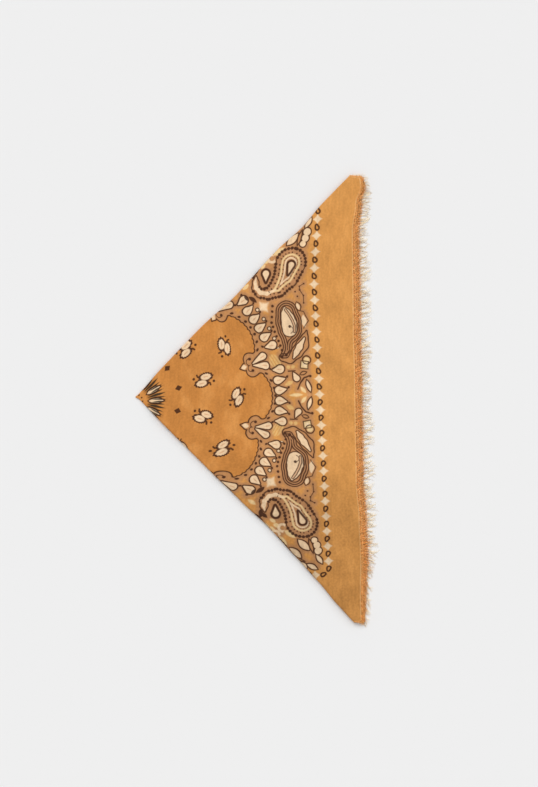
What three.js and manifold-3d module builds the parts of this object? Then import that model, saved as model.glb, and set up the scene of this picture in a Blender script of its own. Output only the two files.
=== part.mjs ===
import * as THREE from "three";
import { mergeVertices } from "three/addons/utils/BufferGeometryUtils.js";
import Module from "manifold-3d";

// A square printed cotton neckerchief with frayed edges, folded along one diagonal and then
// along the other, and laid flat. The folded cloth is a triangle four layers thick. Its left
// tip is the middle of the square, its two slanting sides are folds, and its upright side
// holds the four raw edges, each with a fringe. Millimetres, +Z up. The tip points to -X.

// Driving dimensions
const SIDE = 560; // side of the woven square
const CLOTH_THICK = 1.0; // cloth with its loft
const LAYER_GAP = 0.5; // air between two layers of the folded cloth
const CREASE_HEIGHT = 1.6; // tallest soft crease of the top layer
const EDGE_STEP = 7; // how far the lowest raw edge lies past the top one
const FRINGE_LENGTH = 12; // from the woven edge to the longest ends
const FRINGE_BAND = 3; // tangled band at the root of the fringe
const FRINGE_THICK = 0.9;
const LOCK_PITCH = 11; // from one lock of the fringe to the next
const LOCK_GAP = 2.2; // open width between two locks at their roots
const PIECE_CLEARANCE = 0.3; // between the woven edge and its fringe

// Mesh counts
const STATIONS = 21; // rings from the tip to the raw edges
const SPANS = 14; // steps across one layer
const WRAP_STEPS = 5; // steps round a fold

// Sizes that follow
const HALF = SIDE / 2;
const LAYER_PITCH = CLOTH_THICK + LAYER_GAP;
const TOP_LEVEL = 3;
const FIRST_RING = 0.032; // share of the way from the tip to the raw edges

// The corners of the folded outline, as shares of HALF from the left tip. The folds miss the
// corners of the square a little, so both ends of the upright side are blunt.
const CORNERS = {
  lowerFoldEnd: { x: 0.975, y: -1.001 },
  lowerCorner: { x: 1.011, y: -1.008 },
  upperCorner: { x: 1.006, y: 0.982 },
  upperFoldEnd: { x: 0.957, y: 0.99 },
};
const BLUNT_SHARE = 0.022; // share of the way round the end that each blunt corner takes

// How far each fold bows out of its straight line, as shares of HALF. A minus is a hollow.
const UPPER_BOW = [
  { along: 0, out: 0 },
  { along: 0.14, out: 0.007 },
  { along: 0.3, out: 0.007 },
  { along: 0.46, out: -0.006 },
  { along: 0.66, out: 0.002 },
  { along: 0.77, out: -0.008 },
  { along: 0.87, out: 0.001 },
  { along: 1, out: 0 },
];
const LOWER_BOW = [
  { along: 0, out: 0 },
  { along: 0.12, out: -0.006 },
  { along: 0.33, out: -0.011 },
  { along: 0.47, out: -0.016 },
  { along: 0.58, out: -0.023 },
  { along: 0.73, out: -0.018 },
  { along: 0.82, out: -0.013 },
  { along: 0.92, out: -0.003 },
  { along: 1, out: 0 },
];
// The same for the upright side, from its lower corner to its upper one.
const EDGE_BOW = [
  { along: 0, out: 0 },
  { along: 0.06, out: -0.002 },
  { along: 0.14, out: 0 },
  { along: 0.23, out: -0.007 },
  { along: 0.32, out: -0.02 },
  { along: 0.53, out: -0.025 },
  { along: 0.66, out: -0.031 },
  { along: 0.88, out: -0.034 },
  { along: 0.945, out: -0.018 },
  { along: 0.98, out: 0.004 },
  { along: 1, out: 0 },
];

// Soft creases of the cloth: middle, length and width as shares of HALF, turn in degrees and
// height as a share of CREASE_HEIGHT.
const CREASES = [
  { x: 0.22, y: 0.09, turn: 62, long: 0.24, wide: 0.07, high: 0.5 },
  { x: 0.42, y: -0.22, turn: -35, long: 0.3, wide: 0.08, high: 0.7 },
  { x: 0.5, y: 0.36, turn: 20, long: 0.26, wide: 0.09, high: 0.6 },
  { x: 0.72, y: -0.56, turn: -58, long: 0.34, wide: 0.08, high: 0.8 },
  { x: 0.78, y: 0.12, turn: 84, long: 0.4, wide: 0.09, high: 0.7 },
  { x: 0.86, y: 0.68, turn: 70, long: 0.32, wide: 0.07, high: 1 },
  { x: 0.93, y: -0.78, turn: 92, long: 0.24, wide: 0.05, high: 0.9 },
];

// The four layers. step is the share of EDGE_STEP by which the raw edge lies past the top one.
const LAYERS = [
  { name: "bottom", level: 0, step: 1 },
  { name: "third", level: 1, step: 0.75 },
  { name: "second", level: 2, step: 0.45 },
  { name: "top", level: TOP_LEVEL, step: 0 },
];
const layerNamed = (name) => LAYERS.find((layer) => layer.name === name);

const CLOTH_COLOUR = 0xc98a4b;
const FRINGE_COLOUR = 0xd9a066;

const wasm = await Module();
wasm.setup();

const corner = ({ x, y }) => new THREE.Vector2(x * HALF, y * HALF);
const upperNormal = corner(CORNERS.upperFoldEnd).rotateAround(new THREE.Vector2(), Math.PI / 2).normalize();
const lowerNormal = corner(CORNERS.lowerFoldEnd).rotateAround(new THREE.Vector2(), -Math.PI / 2).normalize();

// A table's out value at a place along it, eased from row to row.
function bowAt(table, along) {
  const next = Math.max(1, table.findIndex((row) => row.along >= Math.min(along, 1)));
  const [a, b] = [table[next - 1], table[next]];
  const share = THREE.MathUtils.smoothstep(along, a.along, b.along);
  return HALF * THREE.MathUtils.lerp(a.out, b.out, share);
}

// A point of a layer's raw end. across runs from -1, at the lower fold, to 1, at the upper one.
function rawEnd(across, layer) {
  const t = (across + 1) / 2;
  const c = CORNERS;
  let point;
  if (t < BLUNT_SHARE) {
    point = corner(c.lowerFoldEnd).lerp(corner(c.lowerCorner), t / BLUNT_SHARE);
  } else if (t > 1 - BLUNT_SHARE) {
    point = corner(c.upperFoldEnd).lerp(corner(c.upperCorner), (1 - t) / BLUNT_SHARE);
  } else {
    const along = (t - BLUNT_SHARE) / (1 - 2 * BLUNT_SHARE);
    point = corner(c.lowerCorner).lerp(corner(c.upperCorner), along);
    point.x += bowAt(EDGE_BOW, along);
  }
  point.x += EDGE_STEP * layer.step * (1 - across ** 8);
  return point;
}

// The place on the surface below of a point of the folded cloth. out is 0 at the left tip and
// 1 at the raw edges.
function placeOn(out, across, layer) {
  const point = rawEnd(across, layer).multiplyScalar(out);
  const upper = Math.max(0, across) ** 2 * bowAt(UPPER_BOW, out);
  const lower = Math.max(0, -across) ** 2 * bowAt(LOWER_BOW, out);
  return point.addScaledVector(upperNormal, upper).addScaledVector(lowerNormal, lower);
}

// How high the creases stand at a place, for the top layer.
function creaseAt(x, y) {
  let height = 0;
  for (const crease of CREASES) {
    const from = new THREE.Vector2(x / HALF - crease.x, y / HALF - crease.y);
    from.rotateAround(new THREE.Vector2(), -THREE.MathUtils.degToRad(crease.turn));
    height += crease.high * Math.exp(-((from.x / crease.long) ** 2) - (from.y / crease.wide) ** 2);
  }
  return CREASE_HEIGHT * height;
}

// The middle height of a layer at a place. The bottom layer lies flat.
function middleHeight(x, y, layer) {
  return CLOTH_THICK / 2 + layer.level * LAYER_PITCH + (layer.level / TOP_LEVEL) * creaseAt(x, y);
}

// The room that a fold between two layers takes, from its crease to the flat cloth.
const foldRoom = (above, below) => ((above.level - below.level) * LAYER_PITCH + CLOTH_THICK) / 2;
const foldRooms = {
  upper: foldRoom(layerNamed("top"), layerNamed("second")),
  lower: foldRoom(layerNamed("top"), layerNamed("bottom")),
};

// One layer's points, from the lower fold to the upper one, with the printed side up or down.
function layerPoints(out, layer, printedSide) {
  const reach = out * HALF;
  const from = -1 + (Math.SQRT2 * foldRooms.lower) / reach;
  const to = 1 - (Math.SQRT2 * foldRooms.upper) / reach;
  const points = [];
  for (let i = 0; i <= SPANS; i++) {
    // The steps next to the folds end at the blunt corners, and the rest are even.
    const inner = BLUNT_SHARE + ((1 - 2 * BLUNT_SHARE) * (i - 1)) / (SPANS - 2);
    const share = i === 0 ? 0 : i === SPANS ? 1 : inner;
    const { x, y } = placeOn(out, THREE.MathUtils.lerp(from, to, share), layer);
    const middle = new THREE.Vector3(x, y, middleHeight(x, y, layer));
    points.push({ middle, normal: new THREE.Vector3(0, 0, printedSide) });
  }
  return points;
}

// The points round a fold between the last point of one layer and the first of the next.
function wrapPoints(before, after, outward) {
  const centre = before.middle.clone().add(after.middle).divideScalar(2);
  const radius = (before.middle.z - after.middle.z) / 2;
  const flat = new THREE.Vector3(outward.x, outward.y, 0);
  const points = [];
  for (let i = 1; i < WRAP_STEPS; i++) {
    const angle = (Math.PI * i) / WRAP_STEPS;
    const way = new THREE.Vector3(0, 0, Math.cos(angle) * Math.sign(radius));
    way.addScaledVector(flat, Math.sin(angle));
    const middle = centre.clone().addScaledVector(way, Math.abs(radius));
    points.push({ middle, normal: way.multiplyScalar(before.normal.z * Math.sign(radius)) });
  }
  return points;
}

// The closed ring of cloth at one distance from the tip: over the top layer, back under it,
// and round the bottom two.
function ring(out) {
  const top = layerPoints(out, layerNamed("top"), 1);
  const second = layerPoints(out, layerNamed("second"), -1).reverse();
  const third = layerPoints(out, layerNamed("third"), 1);
  const bottom = layerPoints(out, layerNamed("bottom"), -1).reverse();
  return [
    ...top,
    ...wrapPoints(top.at(-1), second[0], upperNormal),
    ...second,
    ...wrapPoints(second.at(-1), third[0], lowerNormal),
    ...third,
    ...wrapPoints(third.at(-1), bottom[0], upperNormal),
    ...bottom,
    ...wrapPoints(bottom.at(-1), top[0], lowerNormal),
  ];
}

// A closed wall between the printed and the plain side of a stack of rings.
function wallGeometry(rings) {
  const around = rings[0].length;
  const positions = [];
  for (const side of [1, -1]) {
    for (const points of rings) {
      for (const { middle, normal } of points) {
        positions.push(...middle.clone().addScaledVector(normal, (side * CLOTH_THICK) / 2).toArray());
      }
    }
  }
  const index = (side, station, j) => (side * rings.length + station) * around + (j % around);
  const faces = [];
  const quad = (a, b, c, d) => faces.push(a, b, c, a, c, d);
  for (let j = 0; j < around; j++) {
    for (let s = 0; s + 1 < rings.length; s++) {
      quad(index(0, s, j), index(0, s + 1, j), index(0, s + 1, j + 1), index(0, s, j + 1));
      quad(index(1, s, j), index(1, s, j + 1), index(1, s + 1, j + 1), index(1, s + 1, j));
    }
    const last = rings.length - 1;
    quad(index(0, 0, j), index(0, 0, j + 1), index(1, 0, j + 1), index(1, 0, j));
    quad(index(0, last, j), index(1, last, j), index(1, last, j + 1), index(0, last, j + 1));
  }
  return new THREE.BufferGeometry()
    .setAttribute("position", new THREE.Float32BufferAttribute(positions, 3))
    .setIndex(faces);
}

// The rounded bulge at the left tip, where both folds meet and the four layers are one.
function tipGeometry() {
  const height = CLOTH_THICK + TOP_LEVEL * LAYER_PITCH;
  const end = placeOn(FIRST_RING, 0, layerNamed("top")).x + 0.2 * CLOTH_THICK;
  const outline = new THREE.Shape();
  outline.moveTo(0, 0);
  outline.lineTo(end, -end);
  outline.lineTo(end, end);
  outline.closePath();
  const bevel = 0.3 * height;
  const solid = new THREE.ExtrudeGeometry(outline, {
    depth: height - 2 * bevel,
    bevelSize: bevel,
    bevelThickness: bevel,
    bevelOffset: -bevel,
    bevelSegments: 3,
  });
  return solid.translate(0, 0, bevel);
}

function solidOf(geometry) {
  const bare = geometry.index ? geometry.toNonIndexed() : geometry.clone();
  bare.deleteAttribute("normal");
  bare.deleteAttribute("uv");
  const merged = mergeVertices(bare, 1e-4);
  return new wasm.Manifold(
    new wasm.Mesh({
      numProp: 3,
      vertProperties: merged.attributes.position.array,
      triVerts: new Uint32Array(merged.index.array),
    }),
  );
}

function geometryOf(solid) {
  const mesh = solid.getMesh();
  const geometry = new THREE.BufferGeometry()
    .setAttribute("position", new THREE.Float32BufferAttribute(mesh.vertProperties, 3))
    .setIndex(new THREE.Uint32BufferAttribute(mesh.triVerts, 1));
  return geometry;
}

function clothMesh() {
  const rings = [];
  for (let s = 0; s <= STATIONS; s++) {
    rings.push(ring(THREE.MathUtils.lerp(FIRST_RING, 1, s / STATIONS)));
  }
  const cloth = solidOf(wallGeometry(rings)).add(solidOf(tipGeometry()));
  const material = new THREE.MeshStandardMaterial({ color: CLOTH_COLOUR, roughness: 0.9, metalness: 0 });
  const mesh = new THREE.Mesh(geometryOf(cloth), material);
  mesh.name = "cloth";
  return mesh;
}

// The cloth's own points along a layer's raw edge, between the blunt corners.
function rawEdge(layer) {
  const points = layerPoints(1, layer, 1).slice(1, -1);
  return points.map(({ middle }) => new THREE.Vector2(middle.x, middle.y));
}

// A place at a distance along a line of points and a distance out to its right.
function besideLine(points, along, out) {
  let rest = along;
  let i = 0;
  while (i + 2 < points.length && rest > points[i].distanceTo(points[i + 1])) {
    rest -= points[i].distanceTo(points[i + 1]);
    i += 1;
  }
  const way = points[i + 1].clone().sub(points[i]).normalize();
  const right = way.clone().rotateAround(new THREE.Vector2(), -Math.PI / 2);
  return points[i].clone().addScaledVector(way, rest).addScaledVector(right, out);
}

// The line of points moved out to its right.
function movedOut(points, out) {
  return points.map((point, i) => {
    const before = points[Math.max(0, i - 1)];
    const after = points[Math.min(points.length - 1, i + 1)];
    const way = after.clone().sub(before).normalize();
    return point.clone().addScaledVector(way.rotateAround(new THREE.Vector2(), -Math.PI / 2), out);
  });
}

// The fringe of one raw edge: locks of loose threads on the band that they hang from.
function fringeMesh(layer) {
  const edge = rawEdge(layer);
  const length = edge.slice(1).reduce((sum, point, i) => sum + point.distanceTo(edge[i]), 0);
  const locks = Math.max(2, Math.round(length / LOCK_PITCH));
  const pitch = length / locks;
  const beside = (along, out) => besideLine(edge, along, out);
  const outer = [beside(0, FRINGE_BAND)];
  for (let i = 0; i < locks; i++) {
    const start = i * pitch + LOCK_GAP / 2;
    const end = (i + 1) * pitch - LOCK_GAP / 2;
    const turn = i + 7 * layer.level;
    const reach = FRINGE_LENGTH * (0.86 + 0.14 * Math.sin(2.4 * turn));
    const lean = 0.16 * pitch * Math.sin(1.7 * turn);
    const narrow = 0.18 * pitch;
    outer.push(beside(start, FRINGE_BAND), beside(start + narrow + lean, reach));
    outer.push(beside(end - narrow + lean, reach), beside(end, FRINGE_BAND));
  }
  outer.push(beside(length, FRINGE_BAND));
  const outline = new THREE.Shape([...outer, ...movedOut(edge, PIECE_CLEARANCE).reverse()]);
  const geometry = new THREE.ExtrudeGeometry(outline, { depth: FRINGE_THICK, bevelEnabled: false });
  // The fringe lies as high as the cloth layer that it belongs to.
  const position = geometry.getAttribute("position");
  for (let i = 0; i < position.count; i++) {
    const middle = middleHeight(position.getX(i), position.getY(i), layer);
    position.setZ(i, position.getZ(i) + middle - CLOTH_THICK / 2);
  }
  const material = new THREE.MeshStandardMaterial({ color: FRINGE_COLOUR, roughness: 0.95, metalness: 0 });
  const mesh = new THREE.Mesh(geometry, material);
  mesh.name = "fringe_" + layer.name;
  return mesh;
}

const neckerchief = new THREE.Group();
neckerchief.add(clothMesh(), ...LAYERS.map(fringeMesh));

// The origin is under the middle of the whole piece.
const box = new THREE.Box3().setFromObject(neckerchief);
const middle = box.getCenter(new THREE.Vector3());
neckerchief.position.set(-middle.x, -middle.y, -box.min.z);

export default neckerchief;
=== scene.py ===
import math

import bpy
import numpy as np
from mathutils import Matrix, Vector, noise


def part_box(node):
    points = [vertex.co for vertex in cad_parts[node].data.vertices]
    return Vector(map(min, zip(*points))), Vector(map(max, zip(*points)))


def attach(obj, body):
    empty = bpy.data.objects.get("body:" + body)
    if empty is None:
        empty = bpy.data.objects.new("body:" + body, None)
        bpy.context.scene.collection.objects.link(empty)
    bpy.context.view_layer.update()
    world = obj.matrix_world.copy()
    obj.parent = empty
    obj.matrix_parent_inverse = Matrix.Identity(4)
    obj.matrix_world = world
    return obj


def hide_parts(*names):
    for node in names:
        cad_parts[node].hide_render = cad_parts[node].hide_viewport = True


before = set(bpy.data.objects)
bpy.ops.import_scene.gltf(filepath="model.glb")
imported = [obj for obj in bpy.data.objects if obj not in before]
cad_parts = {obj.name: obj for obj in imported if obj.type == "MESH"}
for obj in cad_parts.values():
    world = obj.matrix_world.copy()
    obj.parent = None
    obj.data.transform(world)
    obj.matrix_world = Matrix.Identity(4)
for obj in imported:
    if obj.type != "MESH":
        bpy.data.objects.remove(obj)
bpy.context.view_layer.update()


def table(columns, rows):
    """Rows of given values, whose columns are named once."""
    names = columns.split()
    return [dict(zip(names, row)) for row in rows]


MM = 0.001
SIDE = 560.0  # side of the woven square
HALF = SIDE / 2
CLOTH_THICK = 0.4
LAYER_PITCH = 1.5
TOP_LEVEL = 3
CREASE_HEIGHT = 1.6
EDGE_STEP = 7.0  # how far the lowest raw edge lies past the top one
FLOOR_GAP = 0.05
PRESS_REACH = 45.0  # the layers are pressed together within this of the tip
PRESSED_SHARE = 0.3  # how much of their stacked height is left there

# The corners of the folded outline, as shares of HALF from the left tip.
LOWER_FOLD_END = (0.975, -1.001)
LOWER_CORNER = (1.011, -1.008)
UPPER_CORNER = (1.006, 0.982)
UPPER_FOLD_END = (0.957, 0.99)
BLUNT_SHARE = 0.022

# How far each edge bows out of its straight line: share along it, and share of HALF outwards.
UPPER_BOW = table("along out", [
    (0, 0), (0.14, 0.007), (0.3, 0.007), (0.46, -0.006), (0.66, 0.002), (0.77, -0.008),
    (0.87, 0.001), (1, 0),
])
LOWER_BOW = table("along out", [
    (0, 0), (0.12, -0.006), (0.33, -0.011), (0.47, -0.016), (0.58, -0.023), (0.73, -0.018),
    (0.82, -0.013), (0.92, -0.003), (1, 0),
])
EDGE_BOW = table("along out", [
    (0, 0), (0.06, -0.002), (0.14, 0), (0.23, -0.007), (0.32, -0.02), (0.53, -0.025),
    (0.66, -0.031), (0.88, -0.034), (0.945, -0.018), (0.98, 0.004), (1, 0),
])

# Soft creases: middle, length and width as shares of HALF, turn in degrees, share of CREASE_HEIGHT.
CREASES = table("x y turn long wide high", [
    (0.22, 0.09, 62, 0.24, 0.07, 0.5),
    (0.42, -0.22, -35, 0.3, 0.08, 0.7),
    (0.5, 0.36, 20, 0.26, 0.09, 0.6),
    (0.72, -0.56, -58, 0.34, 0.08, 0.8),
    (0.78, 0.12, 84, 0.4, 0.09, 0.7),
    (0.86, 0.68, 70, 0.32, 0.07, 1),
    (0.93, -0.78, 92, 0.24, 0.05, 0.9),
])
# Fine crinkles: wave length and height in mm, and stretch along the edge.
CRINKLES = table("length high stretch", [(46, 0.42, 1.5), (17, 0.17, 1.3), (7.5, 0.07, 1.0)])

# The four layers: level in the stack and share of EDGE_STEP past the top raw edge.
LEVELS = dict(top=3, second=2, third=1, bottom=0)
STEPS = dict(top=0, second=0.45, third=0.75, bottom=1)

# Mesh counts
STATIONS = 140  # rings from the tip to the raw edges
TOP_SPANS = 150  # steps across the top layer
HIDDEN_SPANS = 52  # steps across each of the others
WRAP_STEPS = 7  # steps round a fold
FIRST_RINGS = (0.0015, 0.004)  # as shares of the way out, inside the even rings
INNERMOST_EVEN_RING = 0.008

# Near the tip the folds take up no more than these shares of a layer's half and of the way out.
MOST_ROOM = dict(lower=0.7, upper=0.35)
MOST_BULGE = 0.35


def smooth(low, high, value):
    share = np.clip((np.asarray(value, float) - low) / (high - low), 0, 1)
    return share * share * (3 - 2 * share)


def bow(rows, along):
    """How far an edge bows outwards at a share along it, eased from row to row, in mm."""
    along = np.clip(along, 0, 1)
    shares = np.array([row["along"] for row in rows])
    outs = np.array([row["out"] for row in rows])
    row = np.clip(np.searchsorted(shares, along, side="left"), 1, len(rows) - 1)
    part = smooth(0, 1, (along - shares[row - 1]) / (shares[row] - shares[row - 1]))
    return HALF * (outs[row - 1] + (outs[row] - outs[row - 1]) * part)


def raw_end(across, step):
    """The raw edge of a layer. across runs from -1, at the lower fold, to 1, at the upper one."""
    t = (across + 1) / 2
    places = [0, BLUNT_SHARE, 1 - BLUNT_SHARE, 1]
    corners = [LOWER_FOLD_END, LOWER_CORNER, UPPER_CORNER, UPPER_FOLD_END]
    x = HALF * np.interp(t, places, [c[0] for c in corners])
    y = HALF * np.interp(t, places, [c[1] for c in corners])
    along = (t - BLUNT_SHARE) / (1 - 2 * BLUNT_SHARE)
    x = x + np.where((along > 0) & (along < 1), bow(EDGE_BOW, along), 0)
    return x + EDGE_STEP * step * (1 - across**8), y


def outward(fold_end, turn):
    length = math.hypot(*fold_end)
    return np.array([-fold_end[1], fold_end[0]]) / length * turn


UPPER_OUT = outward(UPPER_FOLD_END, 1)
LOWER_OUT = outward(LOWER_FOLD_END, -1)


def place_on(out, across, step):
    """The place of a point of the folded cloth, out from the tip as a share."""
    x, y = raw_end(across, step)
    upper = np.maximum(0, across) ** 2 * bow(UPPER_BOW, out)
    lower = np.maximum(0, -across) ** 2 * bow(LOWER_BOW, out)
    x = out * x + upper * UPPER_OUT[0] + lower * LOWER_OUT[0]
    y = out * y + upper * UPPER_OUT[1] + lower * LOWER_OUT[1]
    return x, y


def crease(x, y):
    height = np.zeros_like(x)
    for c in CREASES:
        turn = math.radians(c["turn"])
        dx, dy = x / HALF - c["x"], y / HALF - c["y"]
        along = dx * math.cos(turn) + dy * math.sin(turn)
        beside = dy * math.cos(turn) - dx * math.sin(turn)
        height += c["high"] * np.exp(-((along / c["long"]) ** 2) - (beside / c["wide"]) ** 2)
    return CREASE_HEIGHT * height


def crinkle(x, y, level):
    height = np.zeros_like(x)
    for wave in CRINKLES:
        for i, (px, py) in enumerate(zip(x, y)):
            spot = (px / wave["length"], py / wave["length"] / wave["stretch"], 3.7 * level)
            height[i] += wave["high"] * noise.noise(spot)
    return height


def layer_height(x, y, level):
    """The middle height of a layer. The bottom one lies flat, and the tip is pressed together."""
    reach = np.hypot(x, y)
    pressed = PRESSED_SHARE + (1 - PRESSED_SHARE) * smooth(0, PRESS_REACH, reach)
    pressed = pressed * np.clip(reach / 2, 0, 1)
    lift = level / TOP_LEVEL
    # The upper layers rise over the soft creases and fine crinkles.
    stack = level * LAYER_PITCH + lift * (crease(x, y) + crinkle(x, y, level))
    return CLOTH_THICK / 2 + FLOOR_GAP + pressed * stack


def flat_angle(angle, layer):
    """The direction on the unfolded square of a point seen at an angle in a layer."""
    up = math.atan2(UPPER_FOLD_END[1], UPPER_FOLD_END[0])
    low = math.atan2(LOWER_FOLD_END[1], LOWER_FOLD_END[0])
    wide = up - low
    squeeze = (2 * math.pi - 2 * wide) / (2 * wide)
    if layer == "top":
        return angle
    if layer == "second":
        return up + (up - angle) * squeeze
    if layer == "bottom":
        return 2 * low - angle
    return low - wide - (up - angle) * squeeze


def layer_run(out, layer, spans, room):
    """One layer's points from the lower fold to the upper one: place, height and flat place."""
    reach = out * HALF
    from_share = -1 + min(math.sqrt(2) * room["lower"] / reach, MOST_ROOM["lower"])
    to_share = 1 - min(math.sqrt(2) * room["upper"] / reach, MOST_ROOM["upper"])
    across = np.linspace(from_share, to_share, spans + 1)
    x, y = place_on(out, across, STEPS[layer])
    z = layer_height(x, y, LEVELS[layer])
    angle = flat_angle(np.arctan2(y, x), layer)
    far = np.hypot(x, y)
    return np.column_stack([x, y, z, far * np.cos(angle), far * np.sin(angle)])


def wrap_run(before, after, out_way):
    """The points round a fold between the last point of one layer and the first of the next."""
    share = np.arange(1, WRAP_STEPS) / WRAP_STEPS
    angle = math.pi * share
    centre = (before[:3] + after[:3]) / 2
    half = (before[2] - after[2]) / 2
    bulge = min(abs(half), MOST_BULGE * float(np.hypot(before[0], before[1])))
    rows = np.zeros((len(share), 5))
    rows[:, 0] = centre[0] + out_way[0] * bulge * np.sin(angle)
    rows[:, 1] = centre[1] + out_way[1] * bulge * np.sin(angle)
    rows[:, 2] = centre[2] + half * np.cos(angle)
    rows[:, 3:] = before[3:] + (after[3:] - before[3:]) * share[:, None]
    return rows


def ring(out):
    room = dict(
        upper=(LAYER_PITCH + CLOTH_THICK) / 2, lower=(TOP_LEVEL * LAYER_PITCH + CLOTH_THICK) / 2,
    )
    top = layer_run(out, "top", TOP_SPANS, room)
    second = layer_run(out, "second", HIDDEN_SPANS, room)[::-1]
    third = layer_run(out, "third", HIDDEN_SPANS, room)
    bottom = layer_run(out, "bottom", HIDDEN_SPANS, room)[::-1]
    return np.vstack([
        top, wrap_run(top[-1], second[0], UPPER_OUT),
        second, wrap_run(second[-1], third[0], LOWER_OUT),
        third, wrap_run(third[-1], bottom[0], UPPER_OUT),
        bottom, wrap_run(bottom[-1], top[0], LOWER_OUT),
    ])


# Where the print sits on the cloth. Its middle lies beside the square's, and it is turned a
# little, because the cloth was cut and folded off its lines.
PRINT_MIDDLE = (0.0, -5.8)
PRINT_TURN = math.radians(3.0)
PRINT_REACH = 640.0  # the span of the print's map
CHAIN_LINE = 230.8  # how far the border's chain lies from the print's middle
CHAIN_STEP = 19.42
# How far the cloth is drawn out of true, in mm unless said.
TIP_SHEAR = 0.07  # for each mm from the middle line
FOLD_PULL = (8.5, -3.0)  # beside the lower fold
FOLD_DRAG = (2.6, -2.2)  # in the lower part
EDGE_PULL = 3.0
EDGE_BEND = 1.12e-4  # for each mm squared
CORNER_PULL = 11.0


def print_place(flat):
    """The place in the print's own design of points of the flat cloth."""
    u, v = flat[:, 0], flat[:, 1]
    # Near the tip the cloth lies sheared, and by the lower fold it is pulled along. Each pull
    # fades in and out between two places, in mm from the middle of the square.
    sheared = TIP_SHEAR * v * smooth(-80, 0, u) * (1 - smooth(126, 150, np.hypot(u, v)))
    pulled = np.exp(-(((u + v) / 28) ** 2)) * smooth(40, 70, u) * (1 - smooth(120, 190, u))
    dragged = (1 - smooth(-90, -10, v)) * smooth(110, 160, u) * (1 - smooth(185, 225, u))
    u = u - sheared + FOLD_PULL[0] * pulled + FOLD_DRAG[0] * dragged - PRINT_MIDDLE[0]
    v = v + FOLD_PULL[1] * pulled + FOLD_DRAG[1] * dragged - PRINT_MIDDLE[1]
    a = u * math.cos(PRINT_TURN) + v * math.sin(PRINT_TURN)
    b = v * math.cos(PRINT_TURN) - u * math.sin(PRINT_TURN)
    # The cloth is drawn a little out of true towards its raw edge.
    right = (np.maximum(a, 0) / CHAIN_LINE) ** 2
    b = b + right * (EDGE_PULL - EDGE_BEND * b * b)
    a = a - CORNER_PULL * smooth(125, 250, b) * smooth(120, 230, a)
    return np.column_stack([a, b])


def sheet_mesh():
    """The folded cloth as one surface, from the middle of the square to its raw edges."""
    outs = np.concatenate([FIRST_RINGS, np.linspace(INNERMOST_EVEN_RING, 1, STATIONS)])
    rings = [ring(out) for out in outs]
    around = len(rings[0])
    shares = np.concatenate([[0], np.repeat(outs, around)])
    centre = np.array([[0, 0, rings[0][:, 2].mean(), 0, 0]])
    rows = np.vstack([centre, *rings])
    faces = [(0, 1 + j, 1 + (j + 1) % around) for j in range(around)]
    for s in range(len(rings) - 1):
        near, far = 1 + s * around, 1 + (s + 1) * around
        for j in range(around):
            k = (j + 1) % around
            faces.append((near + j, far + j, far + k, near + k))
    mesh = bpy.data.meshes.new("cloth_sheet")
    mesh.from_pydata([tuple(p) for p in rows[:, :3] * MM], [], faces)
    places = print_place(rows[:, 3:]) / PRINT_REACH + 0.5
    layer = mesh.uv_layers.new(name="print")
    corner_points = np.array([loop.vertex_index for loop in mesh.loops])
    layer.data.foreach_set("uv", places[corner_points].ravel().astype(np.float32))
    share = mesh.attributes.new("out", "FLOAT", "POINT")
    share.data.foreach_set("value", shares.astype(np.float32))
    mesh.update()
    return mesh, rows, shares


# The cloth's own map for baked pictures. The two sides that can be seen, above and below, lie in it
# as two large triangles, and what lies between the layers is packed into strips beside them.
BAKE_SCALE = 0.00217  # of the map's side for each mm
BAKE_EDGE = 0.018  # where the upper side starts in the map, both ways
BAKE_FAR = 0.908  # where the underside starts, from the opposite corner
STRIPS = dict(  # left, bottom, width and height in the map
    second_outer=(0.93, 0.01, 0.06, 0.3), third_outer=(0.93, 0.33, 0.06, 0.3),
    top_inner=(0.93, 0.65, 0.06, 0.25), second_inner=(0.01, 0.93, 0.3, 0.06),
    third_inner=(0.33, 0.93, 0.3, 0.06), bottom_inner=(0.65, 0.93, 0.25, 0.06),
)


def bake_places(rows, shares, parts, layer, side):
    """The places in the map of points of one layer on one side of the cloth."""
    u, v = rows[:, 3], rows[:, 4]
    if side == "outer" and layer in ("top", "bottom"):
        if layer == "bottom":
            u, v = -v, u
        legs = np.column_stack([u - v, u + v]) / math.sqrt(2) * BAKE_SCALE
        return BAKE_EDGE + legs if layer == "top" else BAKE_FAR - legs
    left, low, wide, high = STRIPS[layer + "_" + side]
    if wide > high:
        return np.column_stack([left + wide * shares, low + high * parts])
    return np.column_stack([left + wide * parts, low + high * shares])


def ring_columns():
    """For each step round a ring: the layer it is mapped with and its place among that layer's."""
    first_half, second_half = (WRAP_STEPS + 1) // 2, WRAP_STEPS // 2
    names = []
    for layer in LEVELS:
        spans = TOP_SPANS if layer == "top" else HIDDEN_SPANS
        before = [] if layer == "top" else [layer] * second_half
        names += before + [layer] * (spans + first_half)
    names += ["top"] * second_half
    places = {}
    for layer in LEVELS:
        steps = [j for j, name in enumerate(names) if name == layer]
        # The top layer's first steps lie at the end of the ring.
        steps = sorted(steps, key=lambda j: (j + second_half) % len(names))
        places.update({j: (layer, place, len(steps)) for place, j in enumerate(steps)})
    return [places[j] for j in range(len(names))]


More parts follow.
